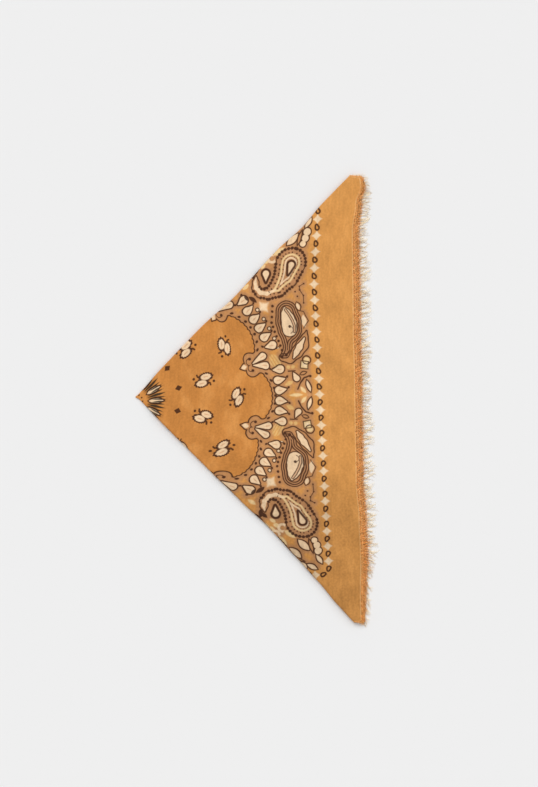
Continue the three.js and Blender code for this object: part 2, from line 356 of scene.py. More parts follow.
def add_bake_map(mesh, rows, shares):
    """Maps the thickened cloth: its first half of points lies on one side, its second on the other."""
    columns = ring_columns()
    around, count = len(columns), len(rows)
    top_point = 1 + around * (STATIONS // 2) + TOP_SPANS // 2
    first_is_outer = mesh.vertices[top_point].co.z > mesh.vertices[top_point + count].co.z
    groups = {}
    for face in mesh.polygons:
        firsts = [vertex < count for vertex in face.vertices]
        points = [vertex % count for vertex in face.vertices]
        cols = [(point - 1) % around for point in points if point > 0]
        j = around - 1 if 0 in cols and around - 1 in cols else min(cols)
        layer, place, steps = columns[j]
        rim = any(firsts) and not all(firsts)
        side = "outer" if rim or firsts[0] == first_is_outer else "inner"
        for loop, point, first in zip(face.loop_indices, points, firsts):
            step = 0.5 if point == 0 else (point - 1 - j) % around
            past = CLOTH_THICK / HALF if rim and first != first_is_outer else 0
            groups.setdefault((layer, side), []).append((loop, point, (place + step) / steps, past))
    uv = np.zeros((len(mesh.loops), 2), np.float32)
    for (layer, side), members in groups.items():
        loops, points, parts, past = (np.array(column) for column in zip(*members))
        places = rows[points] * (1 + past[:, None])
        uv[loops] = bake_places(places, shares[points] * (1 + past), parts, layer, side)
    mesh.uv_layers.new(name="OFBake").data.foreach_set("uv", uv.ravel())


def new_object(name, mesh):
    obj = bpy.data.objects.new(name, mesh)
    bpy.context.scene.collection.objects.link(obj)
    return obj


def made_plain(obj, name):
    """The object with its modifiers made part of its mesh."""
    graph = bpy.context.evaluated_depsgraph_get()
    graph.update()
    mesh = bpy.data.meshes.new_from_object(
        obj.evaluated_get(graph), preserve_all_data_layers=True, depsgraph=graph
    )
    mesh.name = name
    obj.modifiers.clear()
    obj.data = mesh
    return obj


def frame_shift():
    """From the tip to the frame's origin, so that the cloth lies on the CAD model's cloth."""
    low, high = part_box("cloth")
    x, y = place_on(1.0, np.linspace(-1, 1, 400), STEPS["bottom"])
    middle = (float(y.max()) + float(y.min())) / 2
    return np.array([low[0] / MM, (low[1] + high[1]) / 2 / MM - middle])


SHIFT = frame_shift()


def shifted(mesh):
    for vertex in mesh.vertices:
        vertex.co.x += SHIFT[0] * MM
        vertex.co.y += SHIFT[1] * MM
    return mesh


def make_cloth(material):
    mesh, rows, shares = sheet_mesh()
    cloth = new_object("cloth_sheet", shifted(mesh))
    wall = cloth.modifiers.new("Wall", "SOLIDIFY")
    wall.thickness = CLOTH_THICK * MM
    wall.offset = 0
    cloth.data.materials.append(material)
    made_plain(cloth, "cloth_sheet")
    add_bake_map(cloth.data, rows, shares)
    cloth.data.shade_smooth()
    return cloth


# Nodes: a small set of tools that the print, the materials and the fringe are written with.

DEGREE = math.pi / 180
INK_SPREAD = 0.2  # how much wider every dark line came out


def fill(tree, socket, given):
    if isinstance(given, Value):
        given = given.socket
    if isinstance(given, bpy.types.NodeSocket):
        tree.links.new(given, socket)
    else:
        socket.default_value = given


def new_node(tree, kind, settings=None, inputs=None):
    """A node: its settings are set first, then its sockets, by name or by place."""
    node = tree.nodes.new(kind)
    for name, setting in (settings or {}).items():
        setattr(node, name, setting)
    for key, given in (inputs or {}).items():
        fill(tree, node.inputs[key], given)
    return node


class Value:
    """A node's output, written into sums like a number."""

    def __init__(self, tree, socket):
        self.tree = tree
        self.socket = socket

    def get(self, kind, settings=None, inputs=None, output=0):
        node = new_node(self.tree, kind, settings, inputs)
        return Value(self.tree, node.outputs[output])

    def math(self, operation, *terms):
        return self.get("ShaderNodeMath", dict(operation=operation), dict(enumerate(terms)))

    def __add__(self, other):
        return self.math("ADD", self, other)

    def __radd__(self, other):
        return self.math("ADD", other, self)

    def __sub__(self, other):
        return self.math("SUBTRACT", self, other)

    def __rsub__(self, other):
        return self.math("SUBTRACT", other, self)

    def __mul__(self, other):
        return self.math("MULTIPLY", self, other)

    def __rmul__(self, other):
        return self.math("MULTIPLY", other, self)

    def __truediv__(self, other):
        return self.math("DIVIDE", self, other)

    def __rtruediv__(self, other):
        return self.math("DIVIDE", other, self)

    def least(self, other):
        return self.math("MINIMUM", self, other)

    def most(self, other):
        return self.math("MAXIMUM", self, other)

    def blended(self, other, round_over):
        """The least of both, rounded over where they meet."""
        return self.math("SMOOTH_MIN", self, other, round_over)

    def held(self, low=0, high=1):
        return self.get("ShaderNodeClamp", None, {0: self, 1: low, 2: high})

    def size(self):
        return self.math("ABSOLUTE", self)

    def floor(self):
        return self.math("FLOOR", self)

    def sine(self):
        return self.math("SINE", self)

    def cosine(self):
        return self.math("COSINE", self)

    def smooth(self, low, high):
        """From 0 at low to 1 at high, eased at both ends."""
        eased = dict(interpolation_type="SMOOTHSTEP")
        return self.get("ShaderNodeMapRange", eased, {0: self, 1: low, 2: high})

    def vector_math(self, operation, inputs, output=0):
        return self.get("ShaderNodeVectorMath", dict(operation=operation), inputs, output)

    def parts(self):
        outputs = new_node(self.tree, "ShaderNodeSeparateXYZ", None, {0: self}).outputs
        return [Value(self.tree, output) for output in outputs]


class Place:
    """A place on the print, in mm: two values. Sums stay numbers, which keeps the tree light."""

    def __init__(self, x, y):
        self.x = x
        self.y = y
        self.pair = None

    def vector(self):
        if self.pair is None:
            self.pair = self.x.get("ShaderNodeCombineXYZ", None, {0: self.x, 1: self.y})
        return self.pair

    def placed(self, x, y, turn=0, wide=1, high=1):
        """This place as seen from x, y, turned by degrees, with lengths in parts of wide and high."""
        c, s = math.cos(math.radians(turn)), math.sin(math.radians(turn))
        rows = [
            (c / wide, s / wide, -(x * c + y * s) / wide),
            (-s / high, c / high, (x * s - y * c) / high),
        ]
        seen = []
        for own, (by_x, by_y, past) in zip((self.x, self.y), rows):
            if turn % 360 == 0:
                straight = by_x if own is self.x else by_y
                seen.append(own.math("MULTIPLY_ADD", own, straight, past))
            else:
                across = own.math("MULTIPLY_ADD", self.y, by_y, past)
                seen.append(own.math("MULTIPLY_ADD", self.x, by_x, across))
        return Place(*seen)

    def length(self):
        vector = self.vector()
        return vector.vector_math("LENGTH", {0: vector}, 1)

    def gap(self, x, y):
        vector = self.vector()
        return vector.vector_math("DISTANCE", {0: vector, 1: (x, y, 0)}, 1)

    def angle(self):
        """The direction of this place from the middle, in degrees."""
        return self.y.math("ARCTAN2", self.y, self.x) / DEGREE


class Paints:
    """How far each place lies outside each paint, in mm. Inside a paint it is below nothing."""

    def __init__(self):
        self.far = {}

    def lay(self, paint, distance):
        before = self.far.get(paint)
        self.far[paint] = distance if before is None else before.least(distance)

    def line(self, distance, half_wide):
        """A dark line along the rim of a shape."""
        self.lay("ink", distance.size() - half_wide - INK_SPREAD)

    def outlined(self, paint, shape, inset, half_wide):
        """A painted shape, as far inside its rim as the inset, with a dark line along the rim."""
        self.lay(paint, shape + inset)
        self.line(shape, half_wide)

    def motif(self, name, draw, place):
        """What one function draws, as a node group of its own, so that each tree stays short."""
        group = bpy.data.node_groups.new(name, "ShaderNodeTree")
        for axis in ("x", "y"):
            group.interface.new_socket(axis, in_out="INPUT", socket_type="NodeSocketFloat")
        entry = group.nodes.new("NodeGroupInput").outputs
        inside = Paints()
        draw(inside, Place(Value(group, entry[0]), Value(group, entry[1])))
        for paint in inside.far:
            group.interface.new_socket(paint, in_out="OUTPUT", socket_type="NodeSocketFloat")
        leave = group.nodes.new("NodeGroupOutput")
        for paint, distance in inside.far.items():
            group.links.new(distance.socket, leave.inputs[paint])
        tree = place.x.tree
        used = new_node(tree, "ShaderNodeGroup", dict(node_tree=group), {"x": place.x, "y": place.y})
        for paint in inside.far:
            self.lay(paint, Value(tree, used.outputs[paint]))


# Shapes: each gives how far a place lies outside it.

def heading(start, end):
    """The direction from one point to another, in degrees."""
    return math.degrees(math.atan2(end[1] - start[1], end[0] - start[0]))


def tapered(p, start, end, start_round, end_round):
    """A stroke between two round ends: how far outside it, the share along it, the place on it."""
    long = math.dist(start, end)
    lean = (start_round - end_round) / long
    slope = lean / math.sqrt(1 - lean * lean)
    local = p.placed(*start, heading(start, end))
    share = ((local.x - local.y.size() * slope) / long).held()
    off = Place(local.x - share * long, local.y).length()
    return off - start_round + share * (start_round - end_round), share, local


def drop(p, big, small, big_round, small_round):
    """A drop from the middle of its round end to the middle of its point."""
    far, _share, _local = tapered(p, big, small, big_round, small_round)
    return far


def leaf(p, middle, turn, half_long, half_wide):
    """A leaf with two points."""
    local = p.placed(*middle, turn, half_long, half_wide)
    return (local.y.size() + local.x * local.x - 1) * (half_wide * 0.85)


def oval(p, middle, turn, half_long, half_wide):
    local = p.placed(*middle, turn, half_long, half_wide)
    return (local.length() - 1) * math.sqrt(half_long * half_wide)


def box(p, middle, turn, half_side):
    local = p.placed(*middle, turn)
    return local.x.size().most(local.y.size()) - half_side


def bar(p, start, end, half_wide):
    long = math.dist(start, end)
    local = p.placed(*start, heading(start, end))
    return Place(local.x - local.x.held(0, long), local.y).length() - half_wide


def bars(p, points, half_wide):
    far = None
    for start, end in zip(points, points[1:]):
        piece = bar(p, start, end, half_wide)
        far = piece if far is None else far.least(piece)
    return far


def arc(p, middle, radius, turn, half_angle, half_wide):
    """A stroke round part of a circle, to both sides of the direction turn."""
    local = p.placed(*middle, turn)
    stroke = (local.length() - radius).size() - half_wide
    return stroke.most(radius * math.cos(math.radians(half_angle)) - local.x)


def dot(p, place, radius):
    return p.gap(*place) - radius


def dots(p, start, end, count, radius):
    """A straight row of dots."""
    pitch = math.dist(start, end) / (count - 1)
    local = p.placed(*start, heading(start, end))
    step = (local.x / pitch + 0.5).floor().held(0, count - 1)
    return Place(local.x - step * pitch, local.y).length() - radius


def body(p, rows):
    """A curved body through round sections, and the run along it from its head."""
    far = None
    run = None
    before = 0.0
    for near, away in zip(rows, rows[1:]):
        start, end = (near["x"], near["y"]), (away["x"], away["y"])
        long = math.dist(start, end)
        off, share, local = tapered(p, start, end, near["round"], away["round"])
        here = share * long + before
        if far is None:
            # Round the head the run goes on round its rim.
            rim = (local.angle().size() - 90) * (DEGREE * near["round"])
            far, run = off, here - rim.most(0)
        else:
            nearer = (far - off).smooth(-0.01, 0.01)
            run = run + (here - run) * nearer
            far = far.blended(off, 3.0)
        before += long
    return far, run


def beads(across, along, pitch, half_long, half_thick):
    """Marks in a row along a line: across is the distance from it, along the run."""
    cell = ((along / pitch).floor() + 0.5) * pitch
    return (Place((along - cell) / half_long, across / half_thick).length() - 1) * half_thick


def lay_dots(paints, p, paint, rows):
    for row in rows:
        paints.lay(paint, dot(p, (row["x"], row["y"]), row["round"]))


def lay_marks(paints, p, rows):
    """Single leaves and ovals, each a row with its paint, place, turn and half sizes."""
    for row in rows:
        place = (row["x"], row["y"])
        paints.lay(row["paint"], row["shape"](p, place, row["turn"], row["long"], row["wide"]))


# The middle of the cloth, where everything comes twelve times round.

def in_sector(angle):
    """An angle as it lies in its own twelfth of a turn, from -15 to 15 degrees."""
    return angle - (angle / 30 + 0.5).floor() * 30


def twelfth(p, middle_of_sector):
    """The place in its own twelfth, with the twelfth's middle along x."""
    bearing = in_sector(p.angle() - middle_of_sector) * DEGREE
    reach = p.length()
    return Place(reach * bearing.cosine(), reach * bearing.sine())


def centre_flower(paints, p):
    """Petals and striped leaves round the middle."""
    near = twelfth(p, 0)
    paints.outlined("cream", leaf(near, (26.4, 0), 0, 10.6, 3.9), 0.5, 0.5)
    paints.lay("ink", dot(near, (9.4, 0), 1.1))
    between = twelfth(p, 15)
    side = Place(between.x, between.y.size())
    paints.lay("grey ink", leaf(between, (27.5, 0), 0, 12.0, 1.5))
    paints.lay("grey ink", leaf(side, (27.0, 3.3), 9, 11.0, 1.2))
    paints.lay("grey ink", leaf(side, (29.5, 6.3), 17, 9.5, 1.0))
    paints.lay("ink", dot(near, (0, 0), 3.4))
    diamond = between.placed(56.2, 0, 0, 4.0, 3.3)
    paints.lay("ink", (diamond.x.size() + diamond.y.size() - 1) * 2.6 - 0.4)


def butterfly(paints, sector, reach, turn):
    """Two ovals side by side in one scalloped line, with a curl and a dot at each end."""
    local = sector.placed(reach, 0, turn)
    # Everything comes twice, the second time turned round.
    flare, spot, wings = None, None, []
    for way in (0, 180):
        half = local.placed(0, 0, way)
        wings.append((half.placed(3.3, 3.3, -5, 7.1, 4.2).length() - 1) * 5.1)
        strokes = bars(half, [(-4.2, 4.2), (-6.6, 5.6), (-6.9, 8.2)], 1.05)
        mark = dot(half, (-11.8, 4.8), 1.6)
        flare = strokes if flare is None else flare.least(strokes)
        spot = mark if spot is None else spot.least(mark)
    both = wings[0].blended(wings[1], 1.5)
    scallops = (local.angle() * (DEGREE * 22)).sine() * 0.45
    paints.lay("halo", both - 1.2)
    paints.lay("cream", both + 0.4)
    paints.line(both - 0.6 + scallops, 0.85)
    paints.lay("ink", flare.least(spot))
    seam = (wings[0] - wings[1]).size() * 0.5 - 0.35
    hearts = oval(local, (3.3, 3.5), -5, 3.4, 0.9).least(oval(local, (-3.3, -3.5), -5, 3.4, 0.9))
    paints.lay("core", seam.least(hearts).most(both + 1.2))


def butterflies(paints, p):
    butterfly(paints, twelfth(p, 15), 88.5, 0)
    butterfly(paints, twelfth(p, 0), 128.0, 69)


def rim_reach(angle):
    """How far out the middle's rim lies, between its cusps, at an angle in degrees."""
    part = in_sector(angle)
    sides = (angle * (DEGREE * 4)).cosine() * 2.4
    return sides + 169.2 - part * part * 0.078


DOT_STEP = 3.2  # degrees from dot to dot


def middle_rim(paints, p):
    """The scalloped rim of the middle, with a tulip in each of its cusps."""
    near = twelfth(p, 15)
    side = Place(near.x, near.y.size())
    rim = rim_reach(p.angle())
    scallops = (p.angle() * (DEGREE * 84)).sine().size()
    beyond = rim - p.length() + scallops * 1.1 - 0.6
    shoulder = dot(side, (152.2, 6.9), 8.4)
    neck = (side.y - 12.9).most(152 - side.x)
    tip = drop(near, (143.5, 0), (136.2, 0), 4.8, 0.6)
    edge = shoulder.blended(neck, 2.0).least(tip).blended(beyond, 4.0)
    paints.lay("field", edge)
    paints.line(edge, 0.6)
    paints.lay("cream", leaf(near, (142.0, 0), 0, 4.0, 2.8))
    paints.outlined("cream", drop(side, (169.3, 6.1), (155.0, 1.2), 5.1, 1.3), 0.6, 0.65)
    paints.lay("core", oval(side, (168.6, 5.6), 20, 3.2, 0.9))
    paints.lay("ink", dot(side, (152.5, 7.4), 1.9))
    paints.lay("ink", arc(side, (151.3, 3.9), 4.2, 165, 105, 0.55))
    # A row of dots goes round just outside the rim.
    part = in_sector(p.angle())
    step = (part / DOT_STEP + 0.5).floor().held(-3, 3)
    beside = (part - step * DOT_STEP) * p.length() * DEGREE
    paints.lay("ink", Place(p.length() - rim - 4.0, beside).length() - 1.8)


SEED_STEP = 4.07  # degrees from seed to seed
SEED_REACH = 183.2


def seed_ring(paints, q):
    """The ring of plump seeds round the middle, six to a twelfth."""
    reach = q.length()
    angle = q.angle()
    sector = in_sector(angle)
    step = ((sector / SEED_STEP).floor() + 0.5) * SEED_STEP
    past_last = step.size().smooth(10.6, 11.4) * 30
    # The last seed at each end points inwards.
    outer_way = 1 - step.size().smooth(8, 9) * 2
    x = (reach - SEED_REACH) * outer_way
    beside = (sector - step) * reach * DEGREE
    spot = Place(x, beside - x * x * 0.012 - x * 0.06)
    seed = drop(spot, (-2.9, 0), (6.0, 0), 5.7, 1.5) + past_last
    paints.outlined("cream", seed, 0.8, 0.65)
    paints.lay("ink", dot(spot, (9.4, 1.2), 1.6) + past_last)
    paints.lay("core", oval(spot, (-1.2, 0), 8, 3.2, 0.8) + past_last)
    ring_step = (sector / SEED_STEP + 0.5).floor() * SEED_STEP
    ring_beside = (sector - ring_step) * reach * DEGREE
    second = angle.smooth(17, 18) * (1 - angle.smooth(36, 37))
    ring = Place(reach - 191.5, ring_beside).length() - 2.2 + (1 - second) * 30
    paints.outlined("cream", ring, 0, 0.5)


def border_chain(paints, q):
    """Small dark rings and four-pointed stars by turns, in a line beside the edge."""
    across = q.x - CHAIN_LINE
    step = (q.y / CHAIN_STEP + 0.5).floor().held(-11, 11)
    star = Place(across.size(), (q.y - step * CHAIN_STEP).size())
    paints.lay("white", (star.x + star.y) * 0.72 - 4.4 + star.x * star.y * 0.13)
    half_step = ((q.y / CHAIN_STEP).floor() + 0.5).held(-11.5, 11.5)
    spot = Place(across, q.y - half_step * CHAIN_STEP)
    paints.line(drop(spot, (0.2, -0.6), (-0.7, 1.8), 2.4, 1.5), 0.9)


# The sides and corners, where the four quarters and their halves mirror each other.

BIG_PAISLEY = table("x y round", [
    (201.3, 162.7, 18.0), (196.1, 147.1, 14.4), (184.9, 132.6, 9.8), (173.1, 126.4, 6.0),
    (162.8, 127.6, 4.8), (157.6, 134.8, 4.1), (158.0, 141.4, 3.6), (158.9, 148.6, 0.8),
])
BIG_PAISLEY_TAIL = table("x y round", [
    (182.0, 131.0, 1.0), (171.6, 127.0, 2.0), (163.4, 128.6, 2.3), (158.4, 134.6, 2.2),
    (157.4, 140.5, 1.8), (158.8, 147.0, 0.6),
])

# Its rows of beads: depth inside the rim, pitch and size in mm, and where along it each row ends.
BEAD_ROWS = table("depth pitch round last", [
    (-0.2, 4.2, 2.0, 68), (4.9, 5.4, 1.05, 46), (9.7, 5.4, 0.75, 46),
])


def big_paisley(paints, q):
    """The large curled paisley with a beaded rim, and the drop in its curl."""
    far, run = body(q, BIG_PAISLEY)
    paints.lay("halo", far - 0.6)
    paints.line(far - 0.2, 0.5)
    for row in BEAD_ROWS:
        past_last = run.smooth(row["last"], row["last"] + 1) * 20
        marks = beads(far + row["depth"], run, row["pitch"], row["round"], row["round"])
        paints.lay("ink", marks + past_last)
    paints.lay("gold", (far + 7.6).size() - 1.15)
    paints.lay("cream", (far + 11.6).size() - 0.95)
    inner = drop(q, (201.9, 160.8), (198.0, 148.4), 4.9, 0.9)
    paints.lay("halo", inner - 3)
    paints.outlined("cream", inner, 1.6, 1.1)
    paints.lay("cream", body(q, BIG_PAISLEY_TAIL)[0])
    small = drop(q, (171.0, 151.6), (170.6, 140.6), 5.2, 0.9)
    paints.lay("halo", small - 2.6)
    paints.outlined("cream", small, 1.5, 1.15)


NESTED_PAISLEY = table("x y round", [
    (194.8, 103.8, 13.0), (196.6, 91.0, 15.3), (197.6, 81.5, 14.0), (194.2, 67.0, 5.8),
    (193.6, 57.5, 4.9), (190.6, 51.4, 4.4), (186.6, 49.2, 2.6),
])
NESTED_LINES = (0.0, 2.7, 5.4)
FLAME = table("x y round", [
    (218.6, 79.0, 0.8), (216.2, 72.0, 3.6), (212.5, 62.5, 7.6), (205.5, 53.4, 7.0),
    (196.0, 45.8, 5.8), (187.4, 47.2, 4.8),
])
FLAME_CORE = table("x y round", [
    (215.2, 70.4, 0.8), (208.6, 59.8, 3.5), (204.4, 53.0, 2.9), (200.8, 46.3, 0.8),
])
NESTED_HEART = table("x y round", [
    (192.6, 108.0, 1.8), (194.0, 101.5, 5.6), (195.8, 95.5, 8.0), (197.6, 86.5, 9.8),
    (197.6, 82.2, 9.6),
])
S_LINE = [(193.6, 106.0), (197.4, 100.4), (201.4, 93.0), (203.6, 86.0), (203.4, 78.6)]
NESTED_DOTS = table("x y round", [(197.6, 85.4, 1.8), (185.8, 48.3, 2.1), (191.6, 50.2, 2.0)])


def nested_paisley(paints, q):
    """The paisley with rims inside rims, and the flame that its foot curls into."""
    paints.line(body(q, FLAME)[0], 0.6)
    paints.outlined("cream", body(q, FLAME_CORE)[0] - 0.7, 0.7, 0.5)
    far = body(q, NESTED_PAISLEY)[0]
    paints.lay("halo", far)
    for depth in NESTED_LINES:
        paints.line(far + depth, 0.55)
    paints.outlined("cream", body(q, NESTED_HEART)[0], 0.5, 0.45)
    # A double line parts the cream heart in two, and a curl with a dot lies at its foot.
    paints.outlined("core", bars(q, S_LINE, 1.35), 0, 0.35)
    paints.lay("ink", arc(q, (197.4, 81.2), 4.4, 10, 85, 0.45))
    lay_dots(paints, q, "ink", NESTED_DOTS)
    # Two small pointed leaves stand between this paisley and the chain.
    paints.lay("cream", leaf(q, (209.6, 109.6), 108, 4.2, 2.1))
    paints.line(leaf(q, (209.6, 109.6), 108, 6.0, 3.4), 0.45)
    paints.lay("cream", leaf(q, (216.0, 91.4), 96, 8.0, 3.2))
    paints.lay("ink", bars(q, [(212.0, 104.2), (216.0, 103.0), (221.4, 91.6), (215.0, 82.6)], 0.55))


SIDE_STEM = [(203.9, 7.3), (207.2, 15.0), (212.6, 21.4), (219.6, 23.6)]
SIDE_MARKS = table("paint shape x y turn long wide", [
    ("gold", leaf, 201.3, 0, 0, 8.6, 2.1), ("gold", leaf, 210.7, 6.2, -50, 5.2, 2.2),
    ("core", oval, 217.0, 0, 0, 2.4, 1.8), ("pale", leaf, 193.4, 15.0, 29, 5.6, 2.6),
])
SIDE_SPOTS = table("x y round", [(193.4, 35.1, 2.3), (199.2, 35.4, 2.3)])


def side_group(paints, q):
    """The star flower on the middle of each side, with its stems, leaves and seeds."""
    lay_marks(paints, q, SIDE_MARKS)
    lay_dots(paints, q, "pale", SIDE_SPOTS)
    paints.outlined("cream", leaf(q, (217.7, 10.8), 107, 8.6, 3.0), 0.6, 0.55)
    paints.lay("ink", bars(q, SIDE_STEM, 0.95))
    paints.lay("ink", dot(q, (220.2, 23.2), 1.7))
    paints.outlined("cream", drop(q, (203.2, 21.0), (198.9, 28.6), 4.6, 0.8), 0.9, 0.6)
    paints.lay("ink", bar(q, (193.0, 30.2), (201.5, 30.4), 0.75))
    paints.line(leaf(q, (211.7, 27.3), 18, 4.6, 2.1), 0.45)
    paints.outlined("gold", dot(q, (216.6, 43.4), 5.2), 1.6, 0.6)
    paints.outlined("gold", box(q, (213.6, 37.4), -8, 4.6), 0, 0.5)
    paints.lay("white", box(q, (213.6, 37.4), -8, 2.4))
    hatch = q.placed(177.0, 42.8, -60)
    rows = (hatch.y * 1.9).sine() * 0.9 + 0.5
    paints.lay("pale", oval(q, (177.0, 42.8), -60, 9.5, 6.4).most(0 - rows))


FIELD_STROKES = table("paint shape x y turn long wide", [
    ("ink", leaf, 153.4, 120.3, -36, 6.4, 2.7), ("ink", leaf, 145.4, 122.4, -60, 4.4, 1.9),
])
ZIGZAG = [(217.6, 137.2), (212.3, 134.2), (212.6, 129.5), (217.1, 122.8), (216.6, 113.6)]


def field_marks(paints, q):
    """The squares, rows of dots and dark strokes between the seeds and the paisleys."""
    star = q.placed(166.4, 110.6, -7)
    square = star.x.size().most(star.y.size())
    paints.lay("white", square - (star.x * star.x + star.y * star.y).least(60) * 0.03 - 3.9)
    paints.lay("ink", dots(q, (177.6, 111.5), (175.4, 91.0), 4, 1.7))
    paints.lay("ink", dots(q, (176.8, 85.5), (186.9, 56.4), 6, 1.7))
    lay_marks(paints, q, FIELD_STROKES)
    paints.lay("ink", dot(q, (139.4, 126.4), 1.6))
    paints.lay("ink", bars(q, ZIGZAG, 0.5))
    for place in ZIGZAG + [(206.8, 127.9), (209.4, 122.0)]:
        paints.lay("ink", dot(q, place, 1.1))


CORNER_MARKS = table("paint shape x y turn long wide", [
    ("gold", leaf, 186.4, 177.6, 36, 8.0, 3.0), ("gold", oval, 171.8, 166.6, 30, 4.2, 2.6),
    ("gold", oval, 167.4, 160.2, 40, 3.6, 2.0), ("gold", leaf, 145.3, 136.3, 42, 5.0, 2.2),
    ("ink", leaf, 157.8, 152.9, 44, 5.8, 2.3), ("ink", leaf, 155.2, 150.6, 88, 5.8, 2.3),
])


def corner_sprays(paints, q):
    """The cream sprays between the large paisley and the corner."""
    paints.outlined("cream", leaf(q, (201.8, 191.4), 47, 10.0, 4.9), 0.9, 0.55)
    paints.line(leaf(q, (210.2, 192.6), 76, 9.6, 2.2), 0.5)
    puffs = dot(q, (218.8, 199.3), 5.2).least(dot(q, (217.2, 192.0), 5.0))
    paints.outlined("cream", puffs.least(dot(q, (214.6, 185.4), 4.4)), 0.7, 0.55)
    paints.outlined("cream", leaf(q, (219.6, 210.4), 60, 8.0, 3.4), 0.7, 0.55)
    paints.lay("cream", arc(q, (178.2, 169.6), 4.6, 200, 125, 1.5))
    lay_marks(paints, q, CORNER_MARKS)


MIDDLE_MOTIFS = {
    "centre flower": centre_flower, "butterflies": butterflies, "middle rim": middle_rim,
}
EDGE_MOTIFS = {
    "seed ring": seed_ring, "border chain": border_chain, "big paisley": big_paisley,
    "nested paisley": nested_paisley, "side group": side_group, "field marks": field_marks,
    "corner sprays": corner_sprays,
}


def printed(p):
    """Every paint of the print at a place in the print's own design, in mm from its middle."""
    paints = Paints()
    for name, draw in MIDDLE_MOTIFS.items():
        paints.motif(name, draw, p)
    a, b = p.x.size(), p.y.size()
    folded = Place(a.most(b), a.least(b))
    for name, draw in EDGE_MOTIFS.items():
        paints.motif(name, draw, folded)
    return paints.far


# Materials

def linear(colour):
    """A colour given as it is seen, from 0 to 255, for a shader."""
    shares = [channel / 255 for channel in colour]
    parts = [c / 12.92 if c <= 0.04045 else ((c + 0.055) / 1.055) ** 2.4 for c in shares]
    return (*parts, 1)


def laid_over(below, mask, colour):
    """A colour over another, where the mask is 1."""
    if isinstance(colour, tuple):
        colour = linear(colour)
    mix = new_node(mask.tree, "ShaderNodeMix", dict(data_type="RGBA"), {"Factor": mask})
    fill(mask.tree, mix.inputs[6], below)
    fill(mask.tree, mix.inputs[7], colour)
    return Value(mask.tree, mix.outputs[2])


def new_material(name, roughness, shine=0.5):
    material = bpy.data.materials.new(name)
    material.use_nodes = True
    shader = material.node_tree.nodes["Principled BSDF"]
    shader.inputs["Roughness"].default_value = roughness
    shader.inputs["Specular IOR Level"].default_value = shine
    return material, material.node_tree, shader


def stored_value(tree, name):
    """A value that the mesh itself keeps, by its name."""
    node = new_node(tree, "ShaderNodeAttribute", dict(attribute_name=name))
    return Value(tree, node.outputs["Fac"])


def shaded(below, amount):
    """A colour made darker or lighter by an amount round 1."""
    return below.vector_math("SCALE", {0: below, "Scale": amount})


# The cloth's paints, from the lowest to the topmost: how soft their edges are in mm, how strongly
# they cover, and their colours as seen.
PAINTS = table("name soft cover colour", [
    ("halo", 0.9, 1.0, (186, 133, 90)), ("pale", 0.8, 0.65, (232, 192, 124)),
    ("gold", 0.9, 0.92, (240, 206, 150)), ("cream", 0.6, 0.96, (241, 208, 168)),
    ("core", 0.6, 0.6, (206, 152, 110)), ("white", 1.4, 0.9, (242, 214, 176)),
    ("grey ink", 0.5, 0.95, (46, 40, 30)), ("ink", 0.55, 0.94, (66, 34, 19)),
])
AROUND_PRINT = (186, 133, 90)  # the darker ground close round the motifs
BORDER_DYE = (216, 151, 80)
FIELD_DYE = (205, 135, 66)
WORN_DYE = (226, 166, 98)
PALER_EDGE_LINE = (240, 186, 122)
YARN_DYE = (248, 180, 104)
YARN_END_LIGHT = (252, 235, 203)
COTTON_SHINE = 0.2
WEAVE_PITCH = 0.55
RELIEF_HEIGHT = 0.12
HAND_WAVER = 1.1  # how far the print's lines stray
WAVER_LENGTH = 9.0


# The cotton's uneven looks, each a cloudy pattern: its size in mm, its detail, its seed, how far it
# is stretched along the threads, and by how much it lightens the cloth.
CLOUDS = table("name length detail seed stretch lightens", [
    ("broad", 62.0, 2.0, 1, 1.0, 0.2), ("patches", 19.0, 3.0, 2, 1.6, 0.34),
    ("fine", 2.6, 2.0, 3, 1.0, 0.3), ("slubs", 1.6, 2.0, 4, 5.0, 0),
    ("streaks", 3.4, 2.0, 5, 4.0, 0.26),
])
DARKEST = 0.44  # the cloth's brightness where no cloud lightens it
# how much darker the cloth is painted towards one corner, as painted shade
CORNER_PAINTED_SHADE = 0.25


def mask_of(distance, soft):
    return 1 - distance.smooth(-soft, soft)


def cloud(place, row):
    """One cloudy pattern, moved and turned by its seed so that no two line up."""
    seed = row["seed"]
    spot = place.get("ShaderNodeMapping", dict(vector_type="POINT"), {
        "Vector": place, "Location": (37.0 * seed, 11.0 * seed, 0),
        "Rotation": (0, 0, 0.35 * seed), "Scale": (1, 1 / row["stretch"], 1),
    })
    inputs = {"Vector": spot, "Scale": 1 / row["length"], "Detail": row["detail"]}
    return place.get("ShaderNodeTexNoise", dict(noise_dimensions="2D"), inputs)


def wavered(place):
    """The hand that drew the print wavered: every place is moved a little before it is looked up."""
    inputs = {"Vector": place, "Scale": 1 / WAVER_LENGTH, "Detail": 2.0}
    waver = place.get("ShaderNodeTexNoise", dict(noise_dimensions="2D"), inputs, 1)
    moved = place.vector_math("MULTIPLY_ADD", {0: waver, 1: (HAND_WAVER, HAND_WAVER, 0), 2: place})
    x, y, _z = moved.parts()
    return Place(x - HAND_WAVER / 2, y - HAND_WAVER / 2)


